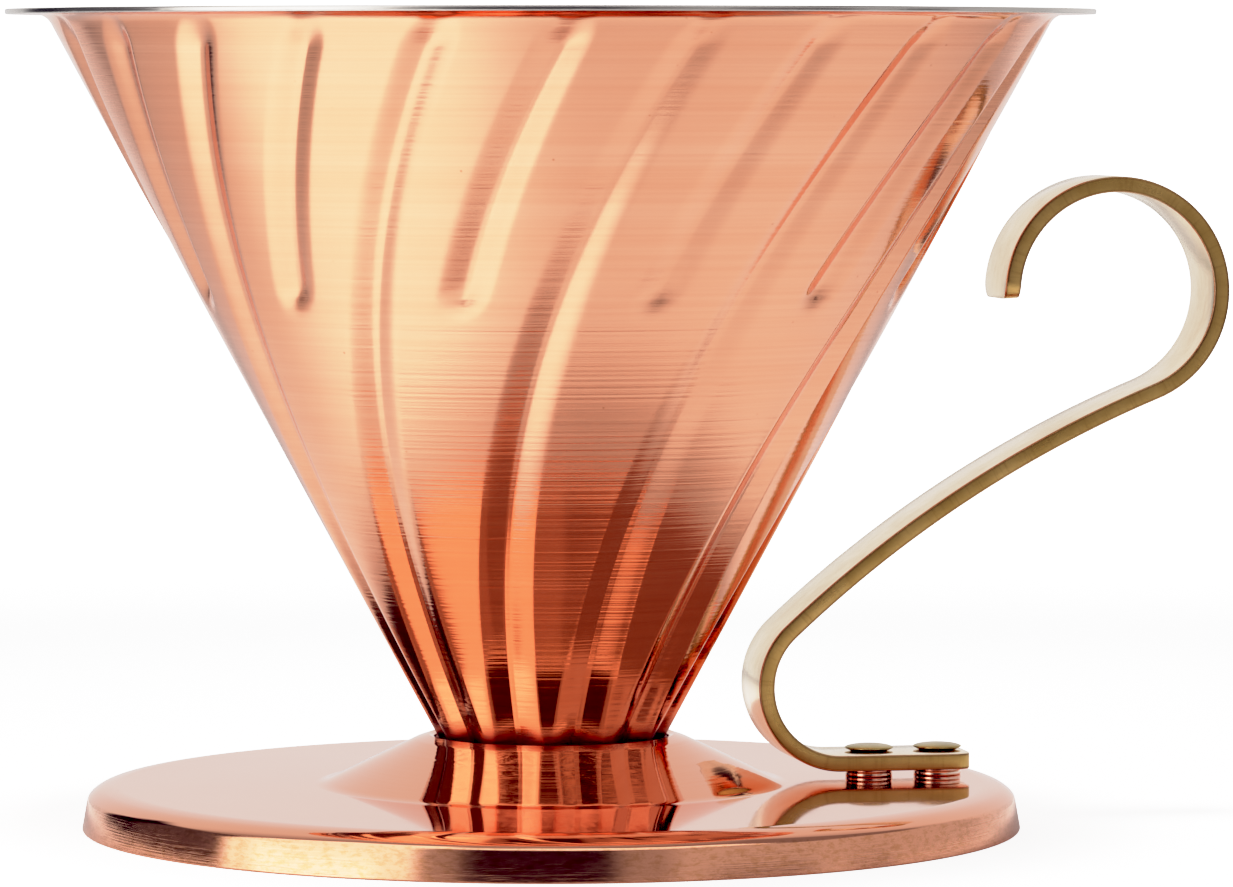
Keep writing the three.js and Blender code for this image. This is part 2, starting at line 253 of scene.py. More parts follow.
def grid_faces(rows, columns):
    """Quads of a grid that closes on itself both ways, facing outward for a section run anticlockwise."""
    faces = []
    for i in range(rows):
        here, after = i * columns, ((i + 1) % rows) * columns
        for j in range(columns):
            k = (j + 1) % columns
            faces.append((here + j, here + k, after + k, after + j))
    return faces


def ring(name, section, segments=256, sharp_degrees=40):
    """A closed section turned about the cone's axis."""
    angles = np.linspace(0, 2 * math.pi, segments, endpoint=False)
    section = np.array(section)
    points = np.empty((len(section), segments, 3))
    points[..., 0] = section[:, :1] * np.cos(angles)
    points[..., 1] = section[:, :1] * np.sin(angles)
    points[..., 2] = section[:, 1:]
    return make_object(name, points.reshape(-1, 3), grid_faces(len(section), segments), sharp_degrees)


def stud(name, section, place, segments=64):
    """A section from the axis to the axis turned about a vertical line at x = place."""
    angles = np.linspace(0, 2 * math.pi, segments, endpoint=False)
    points = [(place, 0, section[0][1]), (place, 0, section[-1][1])]
    inner = section[1:-1]
    for radius, z in inner:
        points += [(place + radius * math.cos(a), radius * math.sin(a), z) for a in angles]
    faces = []
    for j in range(segments):
        k = (j + 1) % segments
        faces.append((0, 2 + k, 2 + j))
        last = 2 + (len(inner) - 1) * segments
        faces.append((1, last + j, last + k))
        for i in range(len(inner) - 1):
            here, after = 2 + i * segments, 2 + (i + 1) * segments
            faces.append((here + j, here + k, after + k, after + j))
    return make_object(name, points, faces)


# =====================================================================================================
# Pieces
# =====================================================================================================

def groove_profile(distance):
    """The depth of one groove, for an array of distances from its middle line."""
    share = np.minimum(np.abs(distance) / GROOVE_HALF_WIDTH, 1)
    wall = (1 - share ** GROOVE_WALL_POWER) ** GROOVE_EDGE_POWER
    return GROOVE_DEPTH * np.minimum(wall, GROOVE_FLOOR)


def groove_depth(angle, z):
    """How far the sheet is pressed in, for an array of angles and one height."""
    pitch = 2 * math.pi / GROOVE_PAIRS
    turns = angle / pitch
    to_long = (turns - np.round(turns)) * pitch * cone_radius(z)
    to_short = (turns - np.floor(turns) - 0.5) * pitch * cone_radius(z)
    above = GROOVE_TOP_BLUNTNESS * max(z - GROOVE_TOP, 0)
    below = max(SHORT_GROOVE_END - z, 0)
    long = groove_profile(np.hypot(to_long, above))
    short = groove_profile(np.sqrt(to_short ** 2 + above ** 2 + below ** 2))
    share = min(max((z - GROOVE_GONE) / (GROOVE_FULL - GROOVE_GONE), 0), 1)
    return np.maximum(long, short) * share * share * (3 - 2 * share)


def cone_section(depth):
    """The sheet's section from the outlet to the flange's edge, at a depth below its outer face."""
    across = depth / math.cos(CONE_HALF_ANGLE)
    underside = RIM_TOP - SHEET
    bend = math.pi / 2 - CONE_HALF_ANGLE
    centre = (cone_radius(underside) + FLANGE_FILLET * math.tan(bend / 2), underside - FLANGE_FILLET)
    wall_top = centre[1] + FLANGE_FILLET * math.sin(math.pi / 2 + bend)
    count = int((FINE_ROWS_FROM - OUTLET_HEIGHT) / CONE_ROW)
    heights = list(np.linspace(OUTLET_HEIGHT, FINE_ROWS_FROM, count, endpoint=False))
    heights += list(np.linspace(FINE_ROWS_FROM, wall_top, FINE_ROWS, endpoint=False))
    wall = [(cone_radius(z) - across, z) for z in heights]
    fillet = FLANGE_FILLET + depth
    return wall + arc(centre, (fillet, fillet), 90 + math.degrees(bend), 90, FLANGE_STEPS)


def column_angles():
    """Angles of the mesh's columns, crowded together along the middle of each groove."""
    half_pitch = math.pi / (2 * GROOVE_PAIRS)
    share = np.linspace(-1, 1, GROOVE_COLUMNS, endpoint=False)
    across = np.sign(share) * np.abs(share) ** COLUMN_CROWDING * half_pitch
    middles = np.arange(2 * GROOVE_PAIRS) * 2 * half_pitch
    return (middles[:, None] + across).ravel()


def swirled(name, section):
    """A closed section turned about the axis, with its grooves pressed in and its columns swirled."""
    angles = column_angles()
    points = np.empty((len(section), len(angles), 3))
    for row, (radius, z) in zip(points, section):
        place = angles + GROOVE_PHASE + SWIRL_ANGLE * math.log(math.cosh(z / SWIRL_HEIGHT))
        pressed = radius - groove_depth(angles, z)
        row[:, 0] = pressed * np.cos(place)
        row[:, 1] = pressed * np.sin(place)
        row[:, 2] = z
    return make_object(name, points.reshape(-1, 3), grid_faces(len(section), len(angles)), 50)


def cone_skin():
    """The copper: the outer part of the sheet's thickness, ending just short of the flange's edge."""
    copper = SHEET - PLATING
    edge = RIM_RADIUS - PLATING
    underside = RIM_TOP - SHEET
    outside = cone_section(0) + [(edge, underside), (edge, underside + copper)]
    return swirled("cone_copper_skin", outside + cone_section(copper)[::-1])


def cone_lining():
    """The plating: the inner part of the thickness, wrapped over the flange's edge."""
    edge = RIM_RADIUS - PLATING
    underside = RIM_TOP - SHEET
    under_lip = [(edge, RIM_TOP - PLATING), (edge, underside)]
    lip = filleted([
        (edge, underside, 0),
        (RIM_RADIUS, underside, LIP_ROUNDING),
        (RIM_RADIUS, RIM_TOP, LIP_ROUNDING),
        (RIM_RADIUS - LIP_FLAT, RIM_TOP, 0),
    ])[1:]
    section = cone_section(SHEET - PLATING) + under_lip + lip + cone_section(SHEET)[::-1]
    return swirled("cone_plated_lining", section)


def shoulder_line(depth, steps):
    """The shoulder from the flat top outward and down, at a depth below the outer face."""
    width, height, turned = 0, 0, 0
    arcs = []
    for radius, until in SHOULDER_ARCS:
        here, there = math.radians(turned), math.radians(until)
        centre = (width - radius * math.sin(here), height - radius * math.cos(here))
        arcs += arc(centre, (radius - depth, radius - depth), 90 - turned, 90 - until, steps)[bool(turned):]
        width, height = centre[0] + radius * math.sin(there), centre[1] + radius * math.cos(there)
        turned = until
    flat_edge = PLATE_RADIUS - (PLATE_TOP + height) * math.tan(SKIRT_LEAN) - width
    return [(flat_edge + x, PLATE_TOP + z) for x, z in arcs]


def base_plate():
    """The pressed plate: hemmed foot, leaning skirt, shoulder, flat top and flare, all one sheet."""
    underside = PLATE_TOP - PLATE_SHEET
    outside = shoulder_line(0, 12)[::-1]
    inside = shoulder_line(PLATE_SHEET, 6)
    hem_wall = PLATE_RADIUS - HEM_HEIGHT * math.tan(SKIRT_LEAN) - PLATE_SHEET / math.cos(SKIRT_LEAN)
    foot = filleted([
        (hem_wall, HEM_HEIGHT, 0),
        (PLATE_RADIUS - HEM_WIDTH, HEM_HEIGHT, HEM_ROUNDING),
        (PLATE_RADIUS - HEM_WIDTH, 0, FOOT_ROUNDING),
        (PLATE_RADIUS, 0, FOOT_ROUNDING),
        (*outside[0], 0),
    ])[:-1]
    inside_shoulder = FLARE_SHOULDER_RADIUS - FLARE_INSIDE_SHIFT
    flare = filleted([
        (*outside[-1], 0),
        (FLARE_FOOT_RADIUS, PLATE_TOP, FLARE_FOOT_FILLET),
        (FLARE_SHOULDER_RADIUS, FLARE_SHOULDER_HEIGHT, FLARE_SHOULDER_FILLET),
        (FLARE_LIP_RADIUS, FLARE_TOP, FLARE_LIP_ROUNDING),
        (FLARE_BORE_RADIUS, FLARE_TOP - FLARE_BORE_DROP, FLARE_BORE_ROUNDING),
        (FLARE_BORE_RADIUS, FLARE_TOP - PLATE_SHEET, FLARE_INSIDE_EDGE),
        (inside_shoulder, FLARE_SHOULDER_HEIGHT - PLATE_SHEET, FLARE_INSIDE_SHOULDER_FILLET),
        (FLARE_FOOT_RADIUS - FLARE_INSIDE_SHIFT, underside, FLARE_INSIDE_FOOT_FILLET),
        (*inside[0], 0),
    ], 10)[1:-1]
    return ring("base_plate_sheet", foot + outside + flare + inside, 320)


def solder_ring():
    """The solder between the cone's spout and the underside of the flare's lip."""
    lip_underside = FLARE_TOP - PLATE_SHEET
    foot = lip_underside - SOLDER_DEPTH
    top = lip_underside - SOLDER_GAP
    section = filleted([
        (cone_radius(foot) + SOLDER_GAP, foot, SOLDER_ROUNDING),
        (FLARE_BORE_RADIUS + SOLDER_REACH, top, 2 * SOLDER_ROUNDING),
        (cone_radius(lip_underside) + SOLDER_GAP, top, SOLDER_ROUNDING),
    ], 3)
    return ring("solder_fillet", section, 160)


def bar_line():
    """The middle line of the bar as (x, z, heading) from the foot's end, with close steps near both ends."""
    x, z, heading = FOOT_END, FOOT_BOTTOM + BAR_THICKNESS / 2, math.pi
    runs = BAR_END_STOPS + list(np.linspace(BAR_CORNER, FOOT_LENGTH, FOOT_STEPS + 1)[1:])
    line = [(x - run, z, heading) for run in runs]
    x -= FOOT_LENGTH
    for bend in BENDS:
        length = bend["radius"] * abs(bend["turn"])
        stops = list(np.linspace(0, length, bend["steps"] + 1)[1:])
        if bend is BENDS[-1]:
            stops = [stop for stop in stops if stop < length - BAR_CORNER]
            stops += [length - stop for stop in reversed(BAR_END_STOPS)]
        side = math.copysign(1, bend["turn"])
        reach = side * bend["radius"]
        centre = (x - reach * math.sin(heading), z + reach * math.cos(heading))
        for stop in stops:
            turned = heading + side * stop / bend["radius"]
            x = centre[0] + reach * math.sin(turned)
            z = centre[1] - reach * math.cos(turned)
            line.append((x, z, turned))
        heading += bend["turn"]
    return line


def handle():
    """The bar, with its four corners rounded in plan and its long edges softened."""
    line = bar_line()
    x, z, heading = np.array(line).T
    run = np.concatenate([[0], np.cumsum(np.hypot(np.diff(x), np.diff(z)))])
    to_end = np.minimum(np.minimum(run, run[-1] - run), BAR_CORNER)
    rounded = np.sqrt(np.maximum(BAR_CORNER ** 2 - (BAR_CORNER - to_end) ** 2, 0))
    half_width = BAR_WIDTH / 2 - BAR_CORNER + np.maximum(rounded, BAR_END_HALF_WIDTH)
    half = BAR_THICKNESS / 2
    corners = [(-1, -half, BAR_EDGE), (1, -half, BAR_EDGE), (1, half, BAR_EDGE), (-1, half, BAR_EDGE)]
    points, strip = [], []
    for px, pz, turn, width, along in zip(x, z, heading, half_width, run):
        wide = [(a * width, b, c) for a, b, c in corners]
        for y, up in filleted(wide, 4):
            points.append((px - up * math.sin(turn), y, pz + up * math.cos(turn)))
            strip.append((along * MM, y * MM, up * MM))
    columns = len(points) // len(line)
    faces = grid_faces(len(line), columns)[:-columns]
    faces.append(tuple(range(columns))[::-1])
    faces.append(tuple(range(len(points) - columns, len(points))))
    bar = make_object("handle_bar", points, faces, 35)
    flat = bar.data.attributes.new(STRIP, "FLOAT_VECTOR", "POINT")
    flat.data.foreach_set("vector", np.array(strip).ravel())
    return bar


def rivet(name, place):
    """A closed tail under the plate, a shank, and a lens-shaped head on the handle's foot."""
    underside = PLATE_TOP - PLATE_SHEET
    depth = underside - RIVET_LOW.z
    height = RIVET_HIGH.z - FOOT_TOP
    tail = arc((0, underside - TAIL_WALL * depth), (TAIL_RADIUS, TAIL_CURVE * depth), -90, 0, 10)
    dome = arc((0, FOOT_TOP + DOME_START * height), (HEAD_RADIUS, DOME_HEIGHT * height), 0, 90, 16)
    # The first and last corner only set the direction of the edges, and are left out of the section.
    neck = filleted([
        (TAIL_RADIUS, underside - 0.1, 0),
        (TAIL_RADIUS, underside, TAIL_ROUNDING),
        (SHANK_RADIUS, underside, 0),
        (SHANK_RADIUS, FOOT_TOP, 0),
        (HEAD_FOOT_RADIUS, FOOT_TOP, HEAD_FOOT_ROUNDING),
        (HEAD_RADIUS, FOOT_TOP + HEAD_EDGE * height, HEAD_EDGE_ROUNDING),
        (HEAD_RADIUS - 0.02, FOOT_TOP + 0.5 * height, 0),
    ])
    return stud(f"rivet_{name}_brass", tail + neck[1:-1] + dome[1:], place)


def washer(name, place, bottom):
    """A thin disc with a rounded rim."""
    top = bottom + (WASHER_HIGH.z - WASHER_LOW.z)
    section = filleted([
        (WASHER_BORE, bottom, 0),
        (WASHER_RADIUS, bottom, WASHER_ROUNDING),
        (WASHER_RADIUS, top, WASHER_ROUNDING),
        (WASHER_BORE, top, 0),
    ], 5)
    thing = ring(f"washer_{name}_disc", section, 64)
    thing.data.transform(Matrix.Translation((place * MM, 0, 0)))
    return thing


# =====================================================================================================
# Materials
# =====================================================================================================

class Nodes:
    """A material or world being wired.

    node(kind, settings, inputs) adds a node and links or sets its inputs: Some_Name is the input of that
    name, and i0, i1 and so on are inputs by number.
    """

    def __init__(self, tree):
        self.tree = tree
        tree.nodes.clear()

    def node(self, kind, settings=None, **inputs):
        made = self.tree.nodes.new(kind)
        for key, value in (settings or {}).items():
            setattr(made, key, value)
        for key, value in inputs.items():
            which = int(key[1:]) if key[1:].isdigit() else key.replace("_", " ")
            socket = made.inputs[which]
            if isinstance(value, bpy.types.NodeSocket):
                self.tree.links.new(value, socket)
            else:
                socket.default_value = value
        return made

    def math(self, operation, *values):
        inputs = {f"i{i}": value for i, value in enumerate(values)}
        return self.node("ShaderNodeMath", {"operation": operation}, **inputs).outputs[0]

    def scaled(self, vector, scale):
        return self.node("ShaderNodeVectorMath", {"operation": "MULTIPLY"}, i0=vector, i1=scale).outputs[0]

    def noise(self, vector, scale, detail=2.0, rough=0.5):
        made = self.node("ShaderNodeTexNoise", Vector=vector, Scale=scale, Detail=detail, Roughness=rough)
        return made.outputs["Fac"]

    def moved(self, vector, origin):
        return self.node("ShaderNodeVectorMath", {"operation": "SUBTRACT"}, i0=vector, i1=origin).outputs[0]

    def height(self, vector):
        return self.node("ShaderNodeSeparateXYZ", Vector=vector).outputs["Z"]

    def mixed(self, factor, first, second):
        return self.node("ShaderNodeMix", {"data_type": "FLOAT"}, i0=factor, i2=first, i3=second).outputs[0]

    def remap(self, value, low, high, to_low, to_high, smooth=False):
        kind = "SMOOTHSTEP" if smooth else "LINEAR"
        made = self.node("ShaderNodeMapRange", {"interpolation_type": kind}, Value=value)
        limits = {"From Min": low, "From Max": high, "To Min": to_low, "To Max": to_high}
        for socket, number in limits.items():
            made.inputs[socket].default_value = number
        return made.outputs[0]

    def blend(self, factor, first, second):
        made = self.node("ShaderNodeMix", {"data_type": "RGBA"})
        for socket, value in ((made.inputs[0], factor), (made.inputs[6], first), (made.inputs[7], second)):
            if isinstance(value, bpy.types.NodeSocket):
                self.tree.links.new(value, socket)
            else:
                socket.default_value = value
        return made.outputs[2]

    def bump(self, height, distance, strength=1.0, normal=None):
        made = self.node("ShaderNodeBump", Height=height, Distance=distance, Strength=strength)
        if normal is not None:
            self.tree.links.new(normal, made.inputs["Normal"])
        return made.outputs[0]


def colour(r, g, b):
    return (r, g, b, 1.0)


# The metals' colours, in linear light.
CONE_DEEP, CONE_PALE = colour(0.90, 0.40, 0.235), colour(0.93, 0.44, 0.27)
CONE_CLOUD, CONE_LINE = colour(0.86, 0.365, 0.21), colour(0.74, 0.31, 0.175)
# The last colour on the next line is painted shade, for the cone just above its seam with the flare.
CONE_SPECK, CONE_SEAM_SHADE = colour(0.50, 0.17, 0.07), colour(0.24, 0.055, 0.045)
PLATE_PALE, PLATE_DEEP = colour(0.91, 0.425, 0.265), colour(0.88, 0.395, 0.24)
PLATE_SCUFF = colour(0.66, 0.29, 0.13)
TIN_DEEP, TIN_PALE = colour(0.53, 0.49, 0.45), colour(0.67, 0.63, 0.58)
BAR_FACE_PALE, BAR_FACE_DEEP = colour(0.97, 0.79, 0.58), colour(0.84, 0.64, 0.41)
BAR_SIDE_DEEP, BAR_SIDE_PALE = colour(0.50, 0.31, 0.095), colour(0.66, 0.43, 0.16)
BAR_SIDE_MARK, BAR_SIDE_LINE = colour(0.36, 0.20, 0.06), colour(0.20, 0.09, 0.04)
RIVET_DEEP, RIVET_PALE = colour(0.35, 0.25, 0.09), colour(0.50, 0.37, 0.16)
WASHER_DEEP, WASHER_PALE = colour(0.88, 0.62, 0.49), colour(0.93, 0.72, 0.60)
SOLDER_DEEP, SOLDER_PALE = colour(0.45, 0.44, 0.42), colour(0.62, 0.61, 0.58)
WHITE = colour(1, 1, 1)

# Where finishes and painted shade begin and end, in millimetres: the first, the painted shade on the cone by
# the seam, above the flare's top, the second above the plate's top, and the third from the axis.
# Painted shade above the seam: where it is full, where it is gone, and how uneven its edge is.
SEAM_SHADE_FULL, SEAM_SHADE_GONE, SEAM_SHADE_UNEVEN = 0.6, 3.4, 1.6
FLARE_LINES_START, FLARE_LINES_FULL = 0.2, 1.2
SKIRT_FINISH_START, SKIRT_FINISH_FULL = 51.55, 51.75
# The same on the bar's sheared sides, as shares of half its thickness.
BAR_FACE_START, BAR_FACE_FULL = 0.86, 0.98
BAR_LINE_START, BAR_LINE_FULL = 0.60, 0.86


def metal(name, base, roughness, normal=None, anisotropic=0.0, tangent=None):
    """A finished metal. Each of its looks is a function of the wiring and the place, or a plain value."""
    material = bpy.data.materials.new(name)
    material.use_nodes = True
    wires = Nodes(material.node_tree)
    place = wires.node("ShaderNodeTexCoord").outputs["Object"]
    shader = wires.node("ShaderNodeBsdfPrincipled", Metallic=1.0, Anisotropic=anisotropic)
    looks = {"Base Color": base, "Roughness": roughness, "Normal": normal, "Tangent": tangent}
    for socket, value in looks.items():
        if callable(value):
            value = value(wires, place)
        if isinstance(value, bpy.types.NodeSocket):
            wires.tree.links.new(value, shader.inputs[socket])
        elif value is not None:
            shader.inputs[socket].default_value = value
    output = wires.node("ShaderNodeOutputMaterial")
    wires.tree.links.new(shader.outputs[0], output.inputs[0])
    return material


def from_axis(wires, place):
    """Coordinates with their origin on the cone's axis."""
    return wires.moved(place, (AXIS_X * MM, 0, 0))


def from_apex(wires, place):
    """A tangent that runs up the cone's wall, across the marks that spinning leaves."""
    apex = (AXIS_X * MM, 0, -CONE_RADIUS_AT_BASE / math.tan(CONE_HALF_ANGLE) * MM)
    return wires.moved(place, apex)


def spun_lines(wires, place, across, along=14, detail=3.0):
    """Noise drawn out round the axis: lines at the same height, across = lines for each metre of height."""
    return wires.noise(wires.scaled(from_axis(wires, place), (along, along, across)), 1.0, detail, 0.6)


def centred(wires, value):
    return wires.math("SUBTRACT", value, 0.5)


def spun_copper():
    """Lathe-spun sheet: fine lines round the cone, faint clouds, specks and painted shade by the seam."""
    # Painted shade: a mask that darkens the copper just above the seam, where the flare shades the cone. The
    # same mask makes the copper rougher there.
    def near_seam(wires, place):
        rough_edge = wires.noise(place, 330, 2.0)
        uneven = wires.math("MULTIPLY_ADD", rough_edge, SEAM_SHADE_UNEVEN * MM, wires.height(place))
        full, gone = (FLARE_TOP + SEAM_SHADE_FULL) * MM, (FLARE_TOP + SEAM_SHADE_GONE) * MM
        return wires.remap(uneven, full, gone, 0.9, 0, True)

    def base(wires, place):
        bands = spun_lines(wires, place, 420)
        cloud = wires.noise(place, 38, 3.0, 0.55)
        clean = wires.blend(wires.remap(bands, 0.3, 0.7, 0, 1), CONE_DEEP, CONE_PALE)
        stained = wires.blend(wires.remap(cloud, 0.45, 0.75, 0, 0.5), clean, CONE_CLOUD)
        specks = wires.node("ShaderNodeTexVoronoi", Vector=place, Scale=520.0).outputs["Distance"]
        rare = wires.remap(wires.noise(place, 260, 2.0), 0.60, 0.66, 0, 1)
        dots = wires.math("MULTIPLY", wires.remap(specks, 0.05, 0.09, 0.6, 0.0), rare)
        fine = wires.remap(spun_lines(wires, place, 3400, 9, 2.0), 0.38, 0.62, 0.0, 0.24)
        lined = wires.blend(fine, stained, CONE_LINE)
        dotted = wires.blend(dots, lined, CONE_SPECK)
        # The painted shade above the seam goes over everything else.
        return wires.blend(near_seam(wires, place), dotted, CONE_SEAM_SHADE)

    def roughness(wires, place):
        lines = wires.remap(spun_lines(wires, place, 2300, 10), 0.3, 0.7, 0.09, 0.14)
        patches = wires.remap(wires.noise(place, 60, 3.0), 0.4, 0.7, 0, 0.04)
        polish = wires.math("ADD", lines, patches)
        return wires.math("MULTIPLY_ADD", near_seam(wires, place), 0.3, polish)

    def normal(wires, place):
        wobble = wires.bump(wires.noise(place, 60, 1.0), 1.2e-4)
        lines = wires.bump(spun_lines(wires, place, 3400, 12, 1.0), 2.1e-5, 1.0, wobble)
        return wires.bump(spun_lines(wires, place, 8000, 24, 2.0), 3.0e-6, 1.0, lines)

    return metal("spun_copper", base, roughness, normal, 0.6, from_apex)


def polished_copper():
    """Mirror bright on the top, with turning lines on the flare and a duller, scuffed skirt."""
    def radius(wires, place):
        flat = wires.scaled(from_axis(wires, place), (1, 1, 0))
        return wires.node("ShaderNodeVectorMath", {"operation": "LENGTH"}, i0=flat).outputs["Value"]

    def on_skirt(wires, place):
        return wires.remap(radius(wires, place), SKIRT_FINISH_START * MM, SKIRT_FINISH_FULL * MM, 0, 1)

    def base(wires, place):
        cloud = wires.noise(place, 30, 3.0, 0.55)
        clean = wires.blend(wires.remap(cloud, 0.35, 0.7, 0, 1), PLATE_PALE, PLATE_DEEP)
        grit = wires.noise(wires.scaled(place, (1, 1, 2.5)), 900, 3.0, 0.7)
        scuffs = wires.math("MULTIPLY", wires.remap(grit, 0.46, 0.64, 0.12, 0.75), on_skirt(wires, place))
        return wires.blend(scuffs, clean, PLATE_SCUFF)

    def roughness(wires, place):
        polish = wires.remap(wires.noise(place, 160, 4.0), 0.3, 0.75, 0.03, 0.07)
        grit = wires.remap(wires.noise(wires.scaled(place, (1, 1, 3)), 500, 3.0), 0.3, 0.7, 0.07, 0.14)
        return wires.mixed(on_skirt(wires, place), polish, grit)

    def normal(wires, place):
        start, full = (PLATE_TOP + FLARE_LINES_START) * MM, (PLATE_TOP + FLARE_LINES_FULL) * MM
        on_flare = wires.remap(wires.height(place), start, full, 0, 1)
        lines = centred(wires, spun_lines(wires, place, 3600, 20, 1.0))
        turned = wires.bump(wires.math("MULTIPLY", lines, on_flare), 1.8e-5)
        scuffs = centred(wires, spun_lines(wires, place, 7000, 60, 3.0))
        scuffed = wires.bump(wires.math("MULTIPLY", scuffs, on_skirt(wires, place)), 1.2e-5, 1.0, turned)
        return wires.bump(wires.noise(place, 45, 1.0), 1.5e-5, 1.0, scuffed)

    return metal("polished_copper", base, roughness, normal)


def bright_plating():
    """Grey tin plating, spun like the copper under it."""
    def base(wires, place):
        bands = spun_lines(wires, place, 500)
        return wires.blend(wires.remap(bands, 0.3, 0.7, 0, 1), TIN_DEEP, TIN_PALE)

    def roughness(wires, place):
        return wires.remap(spun_lines(wires, place, 2600, 10), 0.3, 0.7, 0.20, 0.32)

    def normal(wires, place):
        return wires.bump(spun_lines(wires, place, 3400, 12, 1.0), 1.2e-5)

    return metal("tin_plating", base, roughness, normal, 0.5, from_apex)


def bar_brass():
    """Rolled faces are bright and pale. The bar's sheared sides are browner, with marks across them."""
    def strip(wires):
        return wires.node("ShaderNodeAttribute", {"attribute_name": STRIP}).outputs["Vector"]

    def towards_face(wires, start, end, share):
        up = wires.height(strip(wires))
        half = BAR_THICKNESS / 2 * MM
        return wires.remap(wires.math("ABSOLUTE", up), start * half, end * half, 0, share)

    def face_share(wires):
        return towards_face(wires, BAR_FACE_START, BAR_FACE_FULL, 1)

    def base(wires, place):
        cloud = wires.noise(place, 110, 5.0, 0.65)
        face = wires.blend(wires.remap(cloud, 0.4, 0.66, 0, 1), BAR_FACE_PALE, BAR_FACE_DEEP)
        tarnish = wires.noise(strip(wires), 160, 3.0, 0.6)
        side = wires.blend(wires.remap(tarnish, 0.35, 0.7, 0, 1), BAR_SIDE_DEEP, BAR_SIDE_PALE)
        marks = wires.noise(wires.scaled(strip(wires), (2600, 300, 260)), 1.0, 2.0)
        side = wires.blend(wires.remap(marks, 0.55, 0.75, 0, 0.35), side, BAR_SIDE_MARK)
        edge_line = towards_face(wires, BAR_LINE_START, BAR_LINE_FULL, 0.8)
        side = wires.blend(edge_line, side, BAR_SIDE_LINE)
        return wires.blend(face_share(wires), side, face)

    def roughness(wires, place):
        marks = wires.noise(wires.scaled(strip(wires), (90, 900, 900)), 1.0, 3.0)
        smooth = wires.remap(marks, 0.3, 0.7, 0.12, 0.20)
        rough = wires.remap(marks, 0.3, 0.7, 0.26, 0.36)
        return wires.mixed(face_share(wires), rough, smooth)

    def normal(wires, place):
        along = centred(wires, wires.noise(wires.scaled(strip(wires), (60, 1400, 60)), 1.0, 2.0))
        rolled = wires.bump(wires.math("MULTIPLY", along, face_share(wires)), 3.0e-6)
        across = wires.noise(wires.scaled(strip(wires), (2600, 300, 260)), 1.0, 2.0)
        return wires.bump(across, 6.0e-6, 1.0, rolled)

    return metal("bar_brass", base, roughness, normal)


def plain_brass():
    """The rivets' brass, deeper in colour than the bar's."""
    def base(wires, place):
        cloud = wires.noise(place, 400, 3.0)
        return wires.blend(wires.remap(cloud, 0.3, 0.7, 0, 1), RIVET_DEEP, RIVET_PALE)

    def roughness(wires, place):
        return wires.remap(wires.noise(place, 900, 3.0), 0.3, 0.7, 0.16, 0.28)

    def normal(wires, place):
        return wires.bump(wires.noise(place, 1200, 2.0), 3.0e-6)

    return metal("rivet_brass", base, roughness, normal)


def washer_copper():
    """Pale copper, slightly clouded."""
    def base(wires, place):
        cloud = wires.noise(place, 500, 3.0)
        return wires.blend(wires.remap(cloud, 0.3, 0.7, 0, 1), WASHER_DEEP, WASHER_PALE)

    def roughness(wires, place):
        return wires.remap(wires.noise(place, 1100, 2.0), 0.3, 0.7, 0.10, 0.2)

    return metal("washer_copper", base, roughness)


def dull_solder():
    """Grey and uneven."""
    def base(wires, place):
        cloud = wires.noise(place, 300, 3.0)
        return wires.blend(cloud, SOLDER_DEEP, SOLDER_PALE)

    def roughness(wires, place):
        return wires.remap(wires.noise(place, 500, 3.0), 0.3, 0.7, 0.38, 0.55)

    def normal(wires, place):
        return wires.bump(wires.noise(place, 700, 3.0), 6.0e-5)

    return metal("dull_solder", base, roughness, normal)


# =====================================================================================================
# Studio
# =====================================================================================================

def add_camera():
    """The camera stands in front of the cone's axis, turned a little from it and looking slightly down."""
    data = bpy.data.cameras.new("camera")
    data.lens = LENS
    data.sensor_width = SENSOR
    data.sensor_fit = "HORIZONTAL"
    data.clip_start, data.clip_end = NEAREST, FURTHEST
    camera = bpy.data.objects.new("camera", data)
    bpy.context.scene.collection.objects.link(camera)
    camera.location = (
        AXIS_X * MM + VIEW_DISTANCE * math.sin(VIEW_TURN), -VIEW_DISTANCE * math.cos(VIEW_TURN), VIEW_HEIGHT)
    camera.rotation_euler = (math.pi / 2 - VIEW_DOWN, 0, VIEW_TURN - VIEW_ASIDE)
    bpy.context.scene.camera = camera


def add_floor():
    """A pale round floor that fades into plain white away from the object."""
    mesh = bpy.data.meshes.new("floor")
    rim = [(FLOOR_RADIUS * math.cos(a), FLOOR_RADIUS * math.sin(a), 0)
           for a in np.linspace(0, 2 * math.pi, FLOOR_CORNERS, endpoint=False)]
    mesh.from_pydata(rim, [], [tuple(range(len(rim)))])
    floor = bpy.data.objects.new("floor", mesh)
    bpy.context.scene.collection.objects.link(floor)
    material = bpy.data.materials.new("pale_floor")
    material.use_nodes = True
    wires = Nodes(material.node_tree)
    place = wires.node("ShaderNodeTexCoord").outputs["Object"]
    distance = wires.node("ShaderNodeVectorMath", {"operation": "LENGTH"}, i0=place).outputs["Value"]
    seen = wires.node("ShaderNodeLightPath").outputs["Is Camera Ray"]
    paper = wires.node("ShaderNodeBsdfDiffuse", Color=wires.blend(seen, colour(*PAPER), colour(*PAPER_SEEN)))
    glow = wires.node("ShaderNodeEmission", Color=WHITE, Strength=seen)
    near = wires.node("ShaderNodeAddShader", i0=paper.outputs[0], i1=glow.outputs[0])
    gone = wires.node("ShaderNodeBsdfTransparent")
    fading = wires.remap(distance, *FLOOR_FADE, 0, 1, True)
    mixed = wires.node("ShaderNodeMixShader", Fac=fading, i1=near.outputs[0], i2=gone.outputs[0])
    output = wires.node("ShaderNodeOutputMaterial")
    wires.tree.links.new(mixed.outputs[0], output.inputs[0])
    mesh.materials.append(material)


